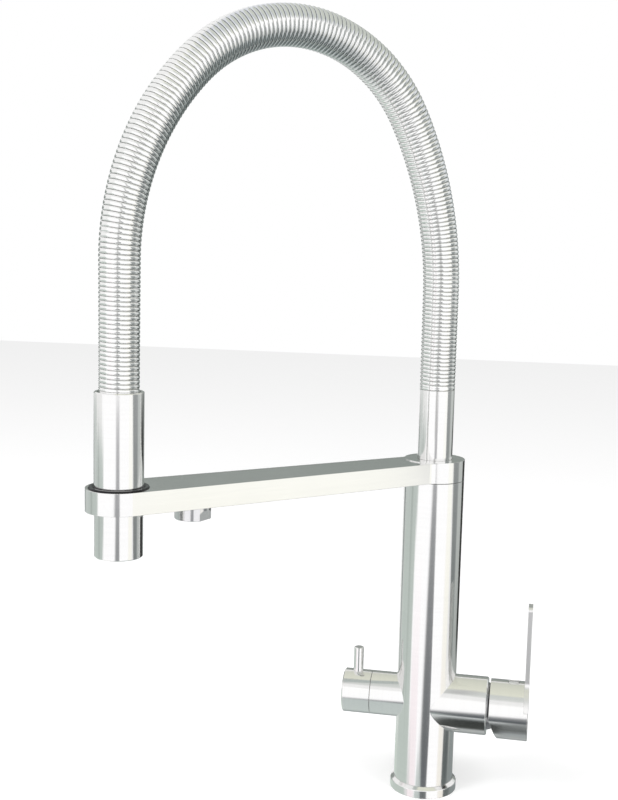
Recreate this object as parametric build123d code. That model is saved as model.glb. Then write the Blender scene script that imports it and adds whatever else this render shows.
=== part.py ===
from build123d import *
import math
import os

# Kitchen mixer tap with a sprung swan neck, a docking arm and a separate filtered water outlet.
# Millimetres, +Z up, origin at the centre of the base on the worktop, both handles on the X axis.

# Clearances
fit = 0.05          # round pieces that stay put in each other
running = 0.08      # round pieces that turn in each other
sliding = 0.02      # flat faces that slide on each other
end_gap = 0.2       # ends of pieces that turn
loose = 0.3         # pieces of different bodies that pass each other

# Base and column
column_r = 24.0
column_wall = 3.0
seam_z = 257.8      # top of the column, where the arm starts
flange_r = 27.0
flange_h = 6.5      # upright rim of the flange
flange_rise = 2.3   # its top slopes up to the column
flange_round = 0.8
foot_depth = 4.0    # how deep the column stands in its flange
seal_w = 2.5
seal_h = 1.6
neck_h = 19.8       # solid top of the column around the swivel post
inlet_h = 22.0      # block with the inlet ports, flush with the base

# Inlets in the underside
port_r = 4.5        # tapping size of an M10 x 1 thread
port_depth = 12.0
port_place_r = 12.5
stud_r = 3.4        # tapping size of an M8 thread
stud_depth = 14.0
stud_place_r = 14.0
supply_pipe_r = 4.0
supply_pipe_wall = 0.8
pipe_seat = 4.0     # how deep a pipe stands in its block

# Waterways between the foot and the swivel
block_z = 40.0
block_h = 66.0
waterway_r = 3.0
supply_level_z = 66.0
mixed_level_z = 80.0
mixed_pipe_r = 4.5
mixed_pipe_wall = 0.8
small_pipe_r = 2.5
small_pipe_wall = 0.7
small_bore_r = 1.5
small_pipe_bend = 15.0
small_pipe_upright = 0.6    # share of the small pipe's rise before it leans in
small_pipe_lean = 0.25      # share over which it leans

# Main handle on the right
mixer_z = 73.0
mixer_boss_r = 23.25
mixer_boss_x = 50.3
boss_edge = 0.8
cartridge_r = 17.4
cartridge_x = 13.0      # seat of the cartridge in the block
cartridge_floor = 4.0
port_seal_t = 1.4
port_seal_w = 1.5
disc_chamber_r = 14.0
disc_h = 3.0
disc_r = 10.4
disc_recess_r = 5.7     # chamber in the sliding disc that joins the ports
disc_recess = 1.5
carrier_h = 5.6
drive_share = 0.7       # how deep in its carrier the stem drives the sliding disc
pocket_play = 1.3       # room for the tilted stem in the carrier's pocket
pocket_end = 1.0
rotor_r = 11.0
rotor_sunk = 1.3        # rotor's end below the end of the boss
nose_wall = 1.3         # cartridge's nose round the rotor
nose_gap = 0.1
nose_short = 0.4
nut_h = 7.4
nut_depth = 2.9         # nut's face below the end of the boss
nut_slot_w = 4.0
cover_r = 19.4          # ball shaped cover under the cap
cover_wall = 1.2
cover_mouth_r = 13.0
pivot_depth = 4.3       # tilt pin below the end of the boss
tilt_pin_r = 1.5
tilt_pin_inset = 1.5    # pin's ends inside the rotor
stem_w = 6.4
stem_reach = 20.5       # from the tilt pin to the inner end of the stem
stem_stop = 3.5         # metal between the stem and the blade
stem_slack = 0.5
lift_angle = 20.0
tilt_clear = 0.5        # tilted cap from the end of the boss
cap_gap = 2.0
cap_r = 23.5
cap_drop = 1.25         # the cap sits this much below the boss
cap_wall = 2.0
cap_cavity = 14.2
cap_length = 30.7
cap_edge = 0.4
cap_screw_x = 18.3      # set screw from the cap's open end
cap_screw_r = 2.5
cap_screw_l = 8.0
hex_r = 1.4
hex_depth = 2.5
plug_r = 4.7
plug_h = 3.5
plug_sunk = 0.8
blade_t = 3.5
blade_w = 16.0
blade_top_z = 159.5
blade_root_z = 5.0      # lower edge of the blade's root above the handle's axis
blade_blend = 6.0
blade_corner = 3.0

# Filtered water handle on the left
filter_z = 75.5
filter_boss_r = 17.65
filter_boss_x = 44.5
valve_r = 12.0
valve_x = 16.0
valve_sunk = 1.0        # valve's face below the end of its boss
valve_neck_r = 7.0
valve_neck_l = 6.5
valve_chamber_l = 12.0
filter_stem_r = 4.0
stem_inset = 6.0        # stem's end inside the knob
knob_gap = 0.4
knob_l = 22.9
knob_cavity = 6.1
knob_cavity_r = 14.0
knob_pin_r = 4.0
knob_pin_x = 11.7       # pin from the knob's inner face
knob_pin_top_z = 113.0
knob_edge = 0.8
knob_pin_edge = 0.5
knob_screw_r = 2.0
knob_screw_l = 6.0
knob_socket_r = 1.0
knob_socket_depth = 2.0

# Swivel between column and arm
swivel_gap = 0.4
post_r = 14.0
post_neck_r = 12.0
post_bore_r = 4.0
post_flange_r = 18.0
post_flange_h = 4.5
small_place_r = 7.9     # filtered waterway in the post, from its axis
washer_r = 22.8
washer_sunk = 0.8
oring_r = 0.9
oring_groove = 1.9
port_groove = 1.0
low_ring_rise = 2.4     # heights above the arm's underside
port_rise = 5.8
high_ring_rise = 8.8
floor_rise = 10.4
clip_h = 1.0
clip_w = 2.6
clip_groove = 1.8
clip_mouth = 10.2
post_tip_h = 1.2
post_tip_step = 0.8

# Docking arm, built along +X and turned to its place
arm_turn = 223.0
reach = 270.0
head_h = 16.4
bar_h = 15.8
bar_w = 36.0        # at the column, from where the bar widens to the docking ring
bar_wall = 2.0
arm_blend = 8.0
dock_r = 23.0
dock_wall = 2.0
liner_lip = 1.0
liner_edge = 0.6
liner_lead = 1.0
dock_step = 3.8         # shoulder in the liner above the arm's underside
riser_r = 13.9
riser_wall = 2.0
riser_h = 55.4
riser_foot_gap = 0.4
riser_line = 0.6        # shadow line in the head round the riser
riser_lip = 3.0
riser_mouth_gap = 1.2   # round the hose where it leaves the riser

# Filtered water outlet under the arm
outlet_from_dock = 56.0
outlet_r = 13.0
outlet_h = 11.2
outlet_edge = 0.4
outlet_spigot_r = 10.0
outlet_spigot_roof = 1.5
outlet_bore_r = 8.5
outlet_bore_h = 7.8
outlet_flat = 11.2      # wrench flats from the axis
outlet_flat_h = 7.0
outlet_flat_turn = 117.0
outlet_cutter_r = 9.0
outlet_cutter_rise = 1.0
outlet_seal_h = 1.2
insert_sunk = 1.0
nozzle_hole_r = 0.8
nozzle_step = 2.6       # from one ring of holes to the next
arm_pipe_start = 2.0    # past the swivel post
arm_pipe_end = 4.0      # short of the outlet's axis

# Sprung neck from the riser to the spray head
neck_rise = 76.5
first_radius = 260.0
first_turn = 30.5
crown_radius = 114.5
crown_turn = 105.5
wire_r = 1.6
spring_end_r = 14.0     # outside of the coil at both ends
spring_crown_r = 15.0   # outside of the coil at the crown
curls = 97
curl_start = 5.5        # rise of the wire before the first curl
hose_r = 7.5
hose_bore_r = 5.0
barb_l = 14.0
ferrule_wall = 1.2
root_gap = 0.5          # hose root above the swivel post
root_l = 10.5

# Spray head
spray_r = 17.1
spray_low_r = 16.6
spray_wall = 1.5
spray_above = 78.0      # from the docking shoulder to the top
spray_below = 36.0
spray_edge = 0.6
spray_lead = 1.0
spray_cone = 2.0
collar_sunk = 2.0       # spring seat below the top of the spray head
collar_h = 8.0
fitting_r = 11.0
fitting_h = 21.0
core_gap = 4.0
core_neck_r = 7.0
core_socket = 9.0       # how deep the core's neck stands in the fitting
core_ring_r = 0.8
core_ring_sunk = 3.0
core_wall = 3.0
face_h = 8.0
face_sunk = 2.0
jet_h = 1.2
inner_jets = 16
inner_jets_r = 9.2
outer_jets = 22
outer_jets_r = 12.0
aerator_r = 7.4
aerator_step = 2.4
check_valve_r = 5.9
check_valve_wall = 3.0
check_valve_l = 18.0
check_valve_sunk = 10.0

# Places worked out from the sizes
bore_r = column_r - column_wall
foot_z = flange_h - foot_depth
neck_z = seam_z - neck_h
block_top = block_z + block_h
arm_z = seam_z + swivel_gap
bar_top = arm_z + bar_h
# Slope of the bar's sides, from its width at the column until they touch the docking ring
bar_flare = math.asin(dock_r / math.hypot(reach, bar_w / 2)) - math.atan2(bar_w / 2, reach)
head_top = arm_z + head_h
riser_top = head_top + riser_h
washer_z = seam_z - washer_sunk
low_ring_z = arm_z + low_ring_rise
port_z = arm_z + port_rise
high_ring_z = arm_z + high_ring_rise
head_floor = arm_z + floor_rise
clip_z = head_floor + end_gap
post_top = clip_z + clip_h + post_tip_h
riser_z = clip_z + clip_h + riser_foot_gap
root_z = post_top + root_gap
outlet_reach = reach - outlet_from_dock
outlet_z = arm_z - outlet_h
spigot_top = port_z + small_pipe_r + outlet_spigot_roof
pivot_x = mixer_boss_x - pivot_depth
nut_x = mixer_boss_x - nut_depth - nut_h
disc_x = cartridge_x + cartridge_floor
chamber_end = disc_x + 2 * disc_h + carrier_h + 2 * end_gap
cap_x = mixer_boss_x + cap_gap
cap_end = cap_x + cap_length
knob_x = filter_boss_x + knob_gap
dock_z = arm_z + dock_step
spray_z = dock_z - spray_below
spray_top = dock_z + spray_above
collar_top = spray_top - collar_sunk
fitting_top = collar_top - collar_h
fitting_z = fitting_top - fitting_h
core_top = fitting_z - core_gap
core_neck_top = fitting_z + core_socket
face_z = spray_z + face_sunk
core_z = face_z + face_h

supply_places = {
    "hot": (port_place_r, 45.0),
    "cold": (port_place_r, -45.0),
    "filtered": (port_place_r, 180.0),
}
base = (Align.CENTER, Align.CENTER, Align.MIN)
parts = {}


def rod(r, z0, z1, x=0.0, y=0.0):
    """An upright cylinder."""
    return Pos(x, y, z0) * Cylinder(r, z1 - z0, align=base)


def ring(r_out, r_in, z0, z1):
    """An upright tube or washer."""
    return rod(r_out, z0, z1) - rod(r_in, z0, z1)


def rod_x(r, x0, x1, y=0.0, z=0.0):
    """A cylinder along X."""
    return Pos(x0, y, z) * Rot(0, 90, 0) * Cylinder(r, x1 - x0, align=base)


def block(x0, x1, y0, y1, z0, z1):
    """A box between two corners."""
    size = (x1 - x0, y1 - y0, z1 - z0)
    return Pos((x0 + x1) / 2, (y0 + y1) / 2, (z0 + z1) / 2) * Box(*size)


def turned(profile):
    """A turned piece from its (radius, height) corners."""
    outline = Polyline(*[(r, 0, z) for r, z in profile], close=True)
    return revolve(make_face(outline), axis=Axis.Z)


def polar(r, angle):
    """X and Y of a place on a circle."""
    return r * math.cos(math.radians(angle)), r * math.sin(math.radians(angle))


def on_right(shape):
    """Puts a piece built along +X from the column's axis on the main handle's axis."""
    return Pos(0, 0, mixer_z) * shape


def on_left(shape):
    """Turns a piece built along +X to the filtered water handle on the left."""
    return Pos(0, 0, filter_z) * Rot(0, 0, 180) * shape


def on_arm(shape):
    """Turns a piece built along +X to the arm's direction."""
    return Rot(0, 0, arm_turn) * shape


def at_dock(shape):
    """Puts an upright piece in the docking ring at the end of the arm."""
    return on_arm(Pos(reach, 0, 0) * shape)


# Base and column

def make_flange():
    crest = flange_h + flange_rise
    body = turned([(bore_r, 0), (flange_r, 0), (flange_r, flange_h), (column_r, crest), (bore_r, crest)])
    rim = [e for e in body.edges() if math.isclose(e.center().Z, flange_h, abs_tol=fit)]
    body = fillet(rim, flange_round)
    body -= rod(column_r + fit, foot_z, crest)
    middle = (bore_r + flange_r) / 2
    groove = (middle - seal_w / 2 - fit, middle + seal_w / 2 + fit)
    parts["base_flange"] = body - ring(groove[1], groove[0], 0, seal_h)
    parts["base_seal"] = ring(middle + seal_w / 2, middle - seal_w / 2, 0, seal_h)


def make_column():
    boss = rod_x(mixer_boss_r, 0, mixer_boss_x)
    boss = chamfer(boss.edges().group_by(Axis.X)[-1], boss_edge)
    small_boss = rod_x(filter_boss_r, 0, filter_boss_x)
    body = rod(column_r, foot_z, seam_z) + on_right(boss) + on_left(small_boss)
    body -= rod(bore_r, foot_z, neck_z)
    body -= rod(post_r + fit, neck_z, seam_z)
    body -= rod(washer_r + fit, washer_z, seam_z)
    body -= on_right(rod_x(cartridge_r + 2 * fit, cartridge_x, mixer_boss_x))
    body -= on_left(rod_x(valve_r + fit, valve_x, filter_boss_x))
    parts["column_body"] = body


def make_inlets():
    body = rod(bore_r - fit, 0, inlet_h)
    pipe_bore = supply_pipe_r - supply_pipe_wall
    for name, place in supply_places.items():
        x, y = polar(*place)
        body -= rod(port_r, 0, port_depth, x, y)
        body -= rod(pipe_bore, 0, inlet_h, x, y)
        body -= rod(supply_pipe_r + fit, inlet_h - pipe_seat, inlet_h, x, y)
        pipe = ring(supply_pipe_r, pipe_bore, inlet_h - pipe_seat, block_z + pipe_seat)
        parts[f"{name}_inlet_pipe"] = Pos(x, y, 0) * pipe
    for angle in (90, 270):
        x, y = polar(stud_place_r, angle)
        body -= rod(stud_r, 0, stud_depth, x, y)
    parts["inlet_block"] = body


def make_mixing_block():
    body = rod(bore_r - fit, block_z, block_top)
    body -= on_right(rod_x(cartridge_r + 2 * fit, cartridge_x, column_r))
    body -= on_left(rod_x(valve_r + fit, valve_x, column_r))
    for name, place in supply_places.items():
        x, y = polar(*place)
        body -= rod(supply_pipe_r + fit, block_z, block_z + pipe_seat, x, y)
        top = filter_z if name == "filtered" else supply_level_z
        body -= rod(waterway_r, block_z, top, x, y)
        if name == "filtered":
            body -= rod_x(waterway_r, -valve_x, x, z=filter_z - waterway_r)
        else:
            body -= rod_x(waterway_r, x, cartridge_x, y, supply_level_z)
    body -= rod_x(waterway_r, 0, cartridge_x, z=mixed_level_z)
    body -= rod(waterway_r, mixed_level_z, block_top)
    body -= rod(mixed_pipe_r + fit, block_top - pipe_seat, block_top)
    x = -valve_x - small_bore_r
    body -= rod(small_bore_r, filter_z, block_top, x)
    body -= rod(small_pipe_r + fit, block_top - pipe_seat, block_top, x)
    parts["mixing_block"] = body


def make_riser_pipes():
    foot = block_top - pipe_seat
    head = neck_z - post_flange_h + pipe_seat
    parts["mixed_water_pipe"] = ring(mixed_pipe_r, mixed_pipe_r - mixed_pipe_wall, foot, head)
    x0 = -valve_x - small_bore_r
    x1 = -small_place_r
    lean_z = foot + (head - foot) * small_pipe_upright
    lean_top = lean_z + (head - foot) * small_pipe_lean
    route = [(x0, 0, foot), (x0, 0, lean_z), (x1, 0, lean_top), (x1, 0, head)]
    path = FilletPolyline(*route, radius=small_pipe_bend)
    section = Circle(small_pipe_r) - Circle(small_pipe_r - small_pipe_wall)
    parts["filtered_water_pipe"] = sweep(Pos(x0, 0, foot) * section, path=path)


# Swivel

def make_swivel():
    flange_z = neck_z - post_flange_h
    body = rod(post_flange_r, flange_z, neck_z) + rod(post_r, neck_z, washer_z)
    body += rod(post_neck_r, washer_z, clip_z)
    body += rod(post_neck_r - clip_groove, clip_z, clip_z + clip_h + fit)
    body += rod(post_neck_r - post_tip_step, clip_z + clip_h + fit, post_top)
    groove_r = post_neck_r - oring_groove
    rings = []
    for z in (low_ring_z, high_ring_z):
        body -= ring(post_r, groove_r, z - oring_r - fit, z + oring_r + fit)
        rings.append(Pos(0, 0, z) * Torus(groove_r + oring_r + fit, oring_r))
    body -= ring(post_r, post_neck_r - port_groove, port_z - oring_r, port_z + oring_r)
    body -= rod(post_bore_r, flange_z, post_top)
    body -= rod(mixed_pipe_r + fit, flange_z, flange_z + pipe_seat)
    body -= rod(small_bore_r, flange_z, port_z, -small_place_r)
    body -= rod(small_pipe_r + fit, flange_z, flange_z + pipe_seat, -small_place_r)
    body -= rod_x(small_bore_r, -post_neck_r, -small_place_r, z=port_z)
    parts["swivel_post"] = body
    parts["swivel_seals"] = Compound(children=rings)
    parts["swivel_washer"] = ring(washer_r, post_neck_r + loose, washer_z, arm_z - sliding)
    clip_in = post_neck_r - clip_groove + fit
    clip = ring(clip_in + clip_w, clip_in, clip_z, clip_z + clip_h)
    parts["swivel_clip"] = clip - block(0, post_r, -clip_mouth / 2, clip_mouth / 2, clip_z, post_top)


# Main handle: cartridge, cover, cap and blade, built along +X

def port_holes(r, x0, x1):
    """The cartridge's three water ports."""
    hot = polar(*supply_places["hot"])
    holes = [rod_x(r, x0, x1, side * hot[1], supply_level_z - mixer_z) for side in (1, -1)]
    return holes + [rod_x(r, x0, x1, 0, mixed_level_z - mixer_z)]


def make_cartridge():
    nut_end = nut_x + nut_h
    nose_r = rotor_r + nose_wall
    body = rod_x(cartridge_r, cartridge_x, nut_x)
    body += rod_x(nose_r, nut_x, nut_end - nose_short)
    body -= rod_x(disc_chamber_r, disc_x, chamber_end)
    body -= rod_x(rotor_r + running, chamber_end, nut_end)
    disc = rod_x(disc_chamber_r - fit, disc_x, disc_x + disc_h)
    seal_r = waterway_r + port_seal_w
    seal_end = cartridge_x + port_seal_t
    holes = port_holes(waterway_r, cartridge_x, disc_x + disc_h)
    seats = port_holes(seal_r + fit, cartridge_x, seal_end)
    seals = []
    for hole, seat, seal in zip(holes, seats, port_holes(seal_r, cartridge_x, seal_end)):
        body -= hole + seat
        disc -= hole
        seals.append(on_right(seal - hole))
    parts["cartridge_housing"] = on_right(body)
    parts["ceramic_disc"] = on_right(disc)
    parts["cartridge_seals"] = Compound(children=seals)
    nut = rod_x(cartridge_r + fit, nut_x, nut_end) - rod_x(nose_r + nose_gap, nut_x, nut_end)
    slot = block(nut_end - nut_depth, nut_end, -cartridge_r, cartridge_r, -nut_slot_w / 2, nut_slot_w / 2)
    parts["cartridge_nut"] = on_right(nut - slot)


def make_cover():
    """A ball shaped cover, screwed into the boss, that keeps clear of the cap as the lever tilts."""
    inner_r = cover_r - cover_wall
    skirt_r = cartridge_r + fit
    skirt_z = pivot_depth - nut_depth + fit
    lining_r = skirt_r - cover_wall

    def on_ball(r, angle):
        return r * math.sin(angle), 0, r * math.cos(angle)

    mouth = math.asin(cover_mouth_r / cover_r)
    seat = math.acos(pivot_depth / cover_r)
    lining = math.asin(lining_r / inner_r)
    points = [on_ball(cover_r, angle) for angle in (seat, (seat + mouth) / 2, mouth)]
    points += [on_ball(inner_r, angle) for angle in (mouth, (mouth + lining) / 2, lining)]
    corners = [(lining_r, 0, skirt_z), (skirt_r, 0, skirt_z), (skirt_r, 0, pivot_depth)]
    outline = ThreePointArc(*points[:3]) + Line(points[2], points[3]) + ThreePointArc(*points[3:])
    outline += Polyline(points[5], *corners, points[0])
    cover = revolve(make_face(outline), axis=Axis.Z)
    parts["cartridge_cover"] = on_right(Pos(pivot_x, 0, 0) * Rot(0, 90, 0) * cover)


def make_rotor():
    half = stem_w / 2
    lift = math.radians(lift_angle)
    edge = half / math.cos(lift) + loose
    inner = (pivot_x - chamber_end) * math.tan(lift) + edge
    outer = (mixer_boss_x - pivot_x) * math.tan(lift) + edge
    body = rod_x(rotor_r, chamber_end + end_gap, mixer_boss_x - rotor_sunk)
    body -= block(disc_x, cap_x, -half - fit, half + fit, -outer, inner)
    pin_l = 2 * (rotor_r - tilt_pin_inset)
    pin = Pos(pivot_x, 0, 0) * Rot(90, 0, 0) * Cylinder(tilt_pin_r, pin_l)
    body -= Pos(pivot_x, 0, 0) * Rot(90, 0, 0) * Cylinder(tilt_pin_r + fit, pin_l)
    parts["cartridge_rotor"] = on_right(body)
    parts["tilt_pin"] = on_right(pin)


def make_flow_disc():
    """The sliding disc rests half its travel below the axis, where the water is shut."""
    carrier_x = disc_x + 2 * disc_h
    arm_l = pivot_x - carrier_x - carrier_h * drive_share
    drop = arm_l * math.sin(math.radians(lift_angle)) / 2
    face = disc_x + disc_h
    disc = rod_x(disc_r, face + sliding, carrier_x, z=-drop)
    disc -= rod_x(disc_recess_r, face, face + disc_recess, z=-drop)
    carrier = rod_x(disc_r, carrier_x, carrier_x + carrier_h, z=-drop)
    half = stem_w / 2
    high = half + pocket_play
    pocket_x = pivot_x - stem_reach - pocket_end
    carrier -= block(pocket_x, cap_x, -half - fit, half + fit, -high, high)
    parts["moving_disc"] = on_right(disc)
    parts["disc_carrier"] = on_right(carrier)


def make_cap():
    half = stem_w / 2
    cavity_end = cap_x + cap_cavity
    stem_end = cap_end - blade_t - stem_stop
    body = rod_x(cap_r, cap_x, cap_end, z=-cap_drop)
    body = chamfer(body.edges().group_by(Axis.X)[-1], cap_edge)
    body -= rod_x(cap_r - cap_wall, cap_x, cavity_end, z=-cap_drop)
    side = half + fit
    body -= block(cavity_end, stem_end + stem_slack, -side, side, -side, side)
    body -= block(cap_end - blade_t, cap_end, -cap_r, cap_r, blade_root_z, cap_r)
    # The lower inner corner is cut so that the tilted cap clears the boss by a named gap
    cut_x = mixer_boss_x + tilt_clear - pivot_x
    cutter = block(-cap_r, cut_x, -2 * cap_r, 2 * cap_r, -3 * cap_r, 3 * cap_r)
    body -= Pos(pivot_x, 0, 0) * Rot(0, -lift_angle, 0) * cutter
    screw_x = cap_x + cap_screw_x
    plug_z = cap_r - cap_drop - plug_h
    body -= rod(cap_screw_r + fit, half, cap_r, screw_x)
    body -= rod(plug_r + fit, plug_z, cap_r, screw_x)
    parts["handle_cap"] = on_right(body)
    plug = rod(plug_r, plug_z, cap_r, screw_x)
    plug &= rod_x(cap_r - plug_sunk, cap_x, cap_end, z=-cap_drop)
    parts["cap_plug"] = on_right(plug)
    screw_top = half + cap_screw_l
    screw = rod(cap_screw_r, half, screw_top, screw_x)
    socket = extrude(Pos(screw_x, 0, screw_top) * RegularPolygon(hex_r, 6), amount=-hex_depth)
    parts["cap_set_screw"] = on_right(screw - socket)
    stem = block(pivot_x - stem_reach, stem_end, -half, half, -half, half)
    stem -= Pos(pivot_x, 0, 0) * Rot(90, 0, 0) * Cylinder(tilt_pin_r + running, stem_w)
    parts["lever_stem"] = on_right(stem)


def make_blade():
    """A flat lever whose root is the upper part of the cap's end."""
    top = blade_top_z - mixer_z
    disc = Pos(0, -cap_drop) * Circle(cap_r)
    root = disc & Pos(0, blade_root_z) * Rectangle(2 * cap_r, cap_r, align=(Align.CENTER, Align.MIN))
    bar = Pos(0, blade_root_z) * Rectangle(blade_w, top - blade_root_z, align=(Align.CENTER, Align.MIN))
    face = root + bar
    sides = [v for v in face.vertices() if math.isclose(abs(v.X), blade_w / 2, abs_tol=fit)]
    face = fillet([v for v in sides if 2 * blade_root_z < v.Y < cap_r], blade_blend)
    tips = [v for v in face.vertices() if math.isclose(v.Y, top, abs_tol=fit)]
    face = fillet(tips, blade_corner)
    plane = Plane(origin=(cap_end - blade_t, 0, 0), x_dir=(0, 1, 0), z_dir=(1, 0, 0))
    parts["lever_blade"] = on_right(extrude(plane * face, amount=blade_t))


# Filtered water handle, built along +X and turned round to the left

def make_filter_handle():
    face_x = filter_boss_x - valve_sunk
    neck_end = face_x + valve_neck_l
    stem_x = valve_x + valve_chamber_l
    body = rod_x(valve_r, valve_x, face_x)
    body += rod_x(valve_neck_r, face_x, neck_end)
    body -= rod_x(filter_stem_r + running, stem_x, neck_end)
    body -= rod_x(waterway_r, valve_x, stem_x)
    parts["filter_valve"] = on_left(body)
    cavity_end = knob_x + knob_cavity
    stem_end = knob_x + knob_l - stem_inset
    parts["filter_stem"] = on_left(rod_x(filter_stem_r, stem_x + end_gap, stem_end))
    knob = rod_x(filter_boss_r, knob_x, knob_x + knob_l)
    knob = chamfer(knob.edges().group_by(Axis.X)[-1], knob_edge)
    knob -= rod_x(knob_cavity_r, knob_x, cavity_end)
    knob -= rod_x(filter_stem_r + fit, cavity_end, stem_end + stem_slack)
    pin_x = knob_x + knob_pin_x
    knob -= rod(knob_pin_r + fit, filter_stem_r, filter_boss_r, pin_x)
    pin = rod(knob_pin_r, filter_stem_r + loose, knob_pin_top_z - filter_z, pin_x)
    pin = chamfer(pin.edges().group_by(Axis.Z)[-1], knob_pin_edge)
    from_side = Pos(pin_x, -filter_stem_r, 0) * Rot(90, 0, 0)
    knob -= from_side * Cylinder(knob_screw_r + fit, filter_boss_r, align=base)
    screw = rod(knob_screw_r, fit, knob_screw_l)
    screw -= rod(knob_socket_r, knob_screw_l - knob_socket_depth, knob_screw_l)
    parts["filter_knob"] = on_left(knob)
    parts["knob_pin"] = on_left(pin)
    parts["knob_set_screw"] = on_left(from_side * screw)


# Docking arm and its fixed pieces

def bar_plan(x0, x1, inset=0.0):
    """The bar from above between two distances from the column, set in from its sides."""
    y0, y1 = (bar_w / 2 - inset + x * math.tan(bar_flare) for x in (x0, x1))
    return make_face(Polyline((x0, -y0), (x1, -y1), (x1, y1), (x0, y0), close=True))


def make_arm():
    bar = bar_plan(0, reach - dock_r * math.sin(bar_flare))
    plan = Circle(column_r) + bar + Pos(reach, 0) * Circle(dock_r)
    corners = [v for v in plan.vertices() if 0 < v.X < column_r]
    body = Pos(0, 0, arm_z) * extrude(fillet(corners, arm_blend), amount=bar_h)
    body += rod(column_r, bar_top, head_top)
    x0 = column_r + bar_wall
    x1 = reach - dock_r - bar_wall
    body -= Pos(0, 0, arm_z + bar_wall) * extrude(bar_plan(x0, x1, bar_wall), amount=bar_h - 2 * bar_wall)
    body -= rod(post_neck_r + fit, arm_z, head_floor)
    body -= rod(riser_r + fit, head_floor, head_top)
    body -= rod(riser_r + riser_line, head_top - riser_line, head_top)
    body -= rod_x(small_pipe_r + fit, post_neck_r, x0, z=port_z)
    body -= rod(outlet_spigot_r + fit, arm_z, spigot_top + loose, outlet_reach)
    body -= rod(dock_r - dock_wall, arm_z, bar_top, reach)
    parts["docking_arm"] = on_arm(body)


def make_liner():
    outer = dock_r - dock_wall - fit
    low = spray_low_r + loose
    high = spray_r + loose
    top = bar_top + liner_lip
    profile = [(low, arm_z), (outer, arm_z), (outer, top - liner_edge), (outer - liner_edge, top),
               (high + liner_lead, top), (high, top - liner_lead), (high, dock_z), (low, dock_z)]
    parts["dock_liner"] = at_dock(turned(profile))


def make_riser():
    tube = ring(riser_r, riser_r - riser_wall, riser_z, riser_top)
    tube += ring(riser_r, hose_r + riser_mouth_gap, riser_top - riser_lip, riser_top)
    parts["riser_tube"] = on_arm(tube)
    shoulder = root_z + root_l
    fitting = rod(riser_r - riser_wall - fit, root_z, shoulder)
    fitting += rod(hose_bore_r - fit, shoulder, shoulder + barb_l)
    parts["hose_root_fitting"] = on_arm(fitting - rod(post_bore_r, root_z, shoulder + barb_l))
    ferrule = ring(hose_r + fit + ferrule_wall, hose_r + fit, shoulder, shoulder + barb_l)
    parts["hose_root_ferrule"] = on_arm(ferrule)


def hole_rings(step, z0, z1):
    """Small holes round a middle one, in two rings."""
    holes = []
    for number, count in enumerate((1, 6, 12)):
        for hole in range(count):
            x, y = polar(number * step, hole * 360 / count)
            holes.append(rod(nozzle_hole_r, z0, z1, x, y))
    return holes


def make_outlet():
    """A screwed-in outlet with two wrench flats that end in the round of their cutter."""
    body = rod(outlet_r, outlet_z, arm_z) + rod(outlet_spigot_r, arm_z, spigot_top)
    body = chamfer(body.edges().group_by(Axis.Z)[0], outlet_edge)
    insert_top = outlet_z + outlet_bore_h
    body -= rod(outlet_bore_r, outlet_z, insert_top)
    body -= rod(small_pipe_r, insert_top, port_z)
    body -= rod_x(small_pipe_r + fit, -outlet_spigot_r, 0, z=port_z)
    middle = outlet_z + outlet_flat_h + outlet_cutter_rise - outlet_cutter_r
    low = outlet_z + outlet_cutter_rise
    side = 2 * outlet_r
    flat = rod_x(outlet_cutter_r, outlet_flat, side, z=middle)
    flat += block(outlet_flat, side, -side, side, outlet_z, low)
    flat &= block(outlet_flat, side, -side, side, outlet_z, outlet_z + outlet_flat_h)
    for turn in (0, 180):
        body -= Rot(0, 0, outlet_flat_turn + turn) * flat
    place = Pos(outlet_reach, 0, 0)
    parts["outlet_housing"] = on_arm(place * body)
    seal_z = insert_top - outlet_seal_h
    parts["outlet_seal"] = on_arm(place * ring(outlet_bore_r - fit, small_pipe_r, seal_z, insert_top))
    insert_z = outlet_z + insert_sunk
    insert = rod(outlet_bore_r - fit, insert_z, seal_z) - hole_rings(nozzle_step, insert_z, seal_z)
    parts["outlet_aerator"] = on_arm(place * insert)
    tube = rod_x(small_pipe_r, post_neck_r + arm_pipe_start, outlet_reach - arm_pipe_end, z=port_z)
    tube -= rod_x(small_pipe_r - small_pipe_wall, post_neck_r, outlet_reach, z=port_z)
    parts["arm_water_tube"] = on_arm(tube)


# Sprung neck

def neck_stretches():
    """Length and curvature of each stretch of the neck's centre line, and its whole length."""
    last_turn = 180 - first_turn - crown_turn
    h1 = math.radians(first_turn)
    h2 = math.radians(first_turn + crown_turn)
    spent = first_radius * (1 - math.cos(h1)) + crown_radius * (math.cos(h1) - math.cos(h2))
    last_radius = (reach - spent) / (math.cos(h2) + 1)
    climb = first_radius * math.sin(h1) + crown_radius * (math.sin(h2) - math.sin(h1))
    climb -= last_radius * math.sin(h2)
    drop = riser_top + neck_rise + climb - collar_top
    arcs = [(first_radius, first_turn), (crown_radius, crown_turn), (last_radius, last_turn)]
    bends = [(r * math.radians(turn), 1 / r) for r, turn in arcs]
    return [(neck_rise, 0.0)] + bends + [(drop, 0.0)]


def neck_point(s):
    """Place, way along and outward way of the neck's centre line at a distance s from the riser."""
    x, z, heading = 0.0, riser_top, 0.0
    stretches = neck_stretches()
    for number, (length, bend) in enumerate(stretches):
        step = s if number == len(stretches) - 1 else min(s, length)
        if bend:
            after = heading + step * bend
            x += (math.cos(heading) - math.cos(after)) / bend
            z += (math.sin(after) - math.sin(heading)) / bend
            heading = after
        else:
            x += step * math.sin(heading)
            z += step * math.cos(heading)
        s -= step
        if s <= 0 and number < len(stretches) - 1:
            break
    way = Vector(math.sin(heading), 0, math.cos(heading))
    out = Vector(-math.cos(heading), 0, math.sin(heading))
    return Vector(x, 0, z), way, out


def neck_length():
    return sum(length for length, bend in neck_stretches())


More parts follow.
